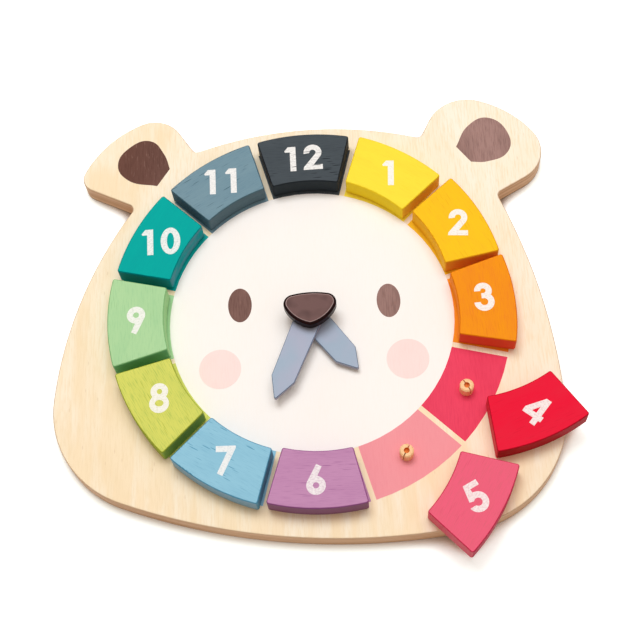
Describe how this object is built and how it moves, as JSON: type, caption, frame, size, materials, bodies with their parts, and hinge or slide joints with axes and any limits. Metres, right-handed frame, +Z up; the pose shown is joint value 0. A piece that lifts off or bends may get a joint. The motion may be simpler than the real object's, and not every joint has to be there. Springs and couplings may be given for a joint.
{
  "type": "teaching clock puzzle",
  "caption": "Wooden teaching clock shaped like an animal's head: numbered hour blocks lift off split pegs round a dial, and its hands turn under a nose-shaped cap.",
  "frame": {"origin": "centre of the dial, on the board's flat underside", "axes": "+Z up out of the dial's face, +Y towards 12 o'clock, +X towards 3 o'clock"},
  "size_m": [0.3045, 0.2929, 0.0295],
  "materials": {
    "bare_wood": "sanded, thin clear lacquer, fine straight grain",
    "hand_paint": "matt blue-grey paint on plywood",
    "nose_paint": "gloss dark brown paint, brown print on top",
    "post_steel": "turned, plain",
    "washer_plastic": "moulded, plain",
    "face_print": "off-white print on wood",
    "cheek_print": "pale pink print on wood",
    "brown_print": "brown print that shows the grain",
    "number_print": "off-white numbers printed on paint",
    "block_01_paint": "satin yellow stain that shows the grain",
    "block_02_paint": "satin amber stain that shows the grain",
    "block_03_paint": "satin orange stain that shows the grain",
    "block_04_paint": "satin red stain that shows the grain",
    "block_05_paint": "satin pink stain that shows the grain",
    "block_06_paint": "satin mauve stain that shows the grain",
    "block_07_paint": "satin sky blue stain that shows the grain",
    "block_08_paint": "satin lime stain that shows the grain",
    "block_09_paint": "satin pale green stain that shows the grain",
    "block_10_paint": "satin teal stain that shows the grain",
    "block_11_paint": "satin slate stain that shows the grain",
    "block_12_paint": "satin charcoal stain that shows the grain"
  },
  "bodies": {
    "board": {"board": "bare_wood", "peg_01": "bare_wood", "peg_02": "bare_wood", "peg_03": "bare_wood", "peg_04": "bare_wood", "peg_05": "bare_wood", "peg_06": "bare_wood", "peg_07": "bare_wood", "peg_08": "bare_wood", "peg_09": "bare_wood", "peg_10": "bare_wood", "peg_11": "bare_wood", "peg_12": "bare_wood", "pivot_post": "post_steel", "base_washer": "washer_plastic", "hand_washer": "washer_plastic", "cap_washer": "washer_plastic", "nose_cap": "nose_paint"},
    "hour_hand": {"hour_hand": "hand_paint"},
    "minute_hand": {"minute_hand": "hand_paint"},
    "block_01": {"block_01": "block_01_paint"},
    "block_02": {"block_02": "block_02_paint"},
    "block_03": {"block_03": "block_03_paint"},
    "block_04": {"block_04": "block_04_paint"},
    "block_05": {"block_05": "block_05_paint"},
    "block_06": {"block_06": "block_06_paint"},
    "block_07": {"block_07": "block_07_paint"},
    "block_08": {"block_08": "block_08_paint"},
    "block_09": {"block_09": "block_09_paint"},
    "block_10": {"block_10": "block_10_paint"},
    "block_11": {"block_11": "block_11_paint"},
    "block_12": {"block_12": "block_12_paint"}
  },
  "joints": [
    {"name": "hour_turn", "type": "hinge", "parent": "board", "child": "hour_hand", "pos_m": [0, 0, 0.0159], "axis": [0, 0, -1], "continuous": true},
    {"name": "minute_turn", "type": "hinge", "parent": "board", "child": "minute_hand", "pos_m": [0, 0, 0.0203], "axis": [0, 0, -1], "continuous": true},
    {"name": "lift_01", "type": "slide", "parent": "board", "child": "block_01", "axis": [0, 0, 1], "range_m": [0, 0.04]},
    {"name": "lift_02", "type": "slide", "parent": "board", "child": "block_02", "axis": [0, 0, 1], "range_m": [0, 0.04]},
    {"name": "lift_03", "type": "slide", "parent": "board", "child": "block_03", "axis": [0, 0, 1], "range_m": [0, 0.04]},
    {"name": "lift_04", "type": "slide", "parent": "board", "child": "block_04", "axis": [0, 0, 1], "range_m": [0, 0.04]},
    {"name": "lift_05", "type": "slide", "parent": "board", "child": "block_05", "axis": [0, 0, 1], "range_m": [0, 0.04]},
    {"name": "lift_06", "type": "slide", "parent": "board", "child": "block_06", "axis": [0, 0, 1], "range_m": [0, 0.04]},
    {"name": "lift_07", "type": "slide", "parent": "board", "child": "block_07", "axis": [0, 0, 1], "range_m": [0, 0.04]},
    {"name": "lift_08", "type": "slide", "parent": "board", "child": "block_08", "axis": [0, 0, 1], "range_m": [0, 0.04]},
    {"name": "lift_09", "type": "slide", "parent": "board", "child": "block_09", "axis": [0, 0, 1], "range_m": [0, 0.04]},
    {"name": "lift_10", "type": "slide", "parent": "board", "child": "block_10", "axis": [0, 0, 1], "range_m": [0, 0.04]},
    {"name": "lift_11", "type": "slide", "parent": "board", "child": "block_11", "axis": [0, 0, 1], "range_m": [0, 0.04]},
    {"name": "lift_12", "type": "slide", "parent": "board", "child": "block_12", "axis": [0, 0, 1], "range_m": [0, 0.04]}
  ]
}
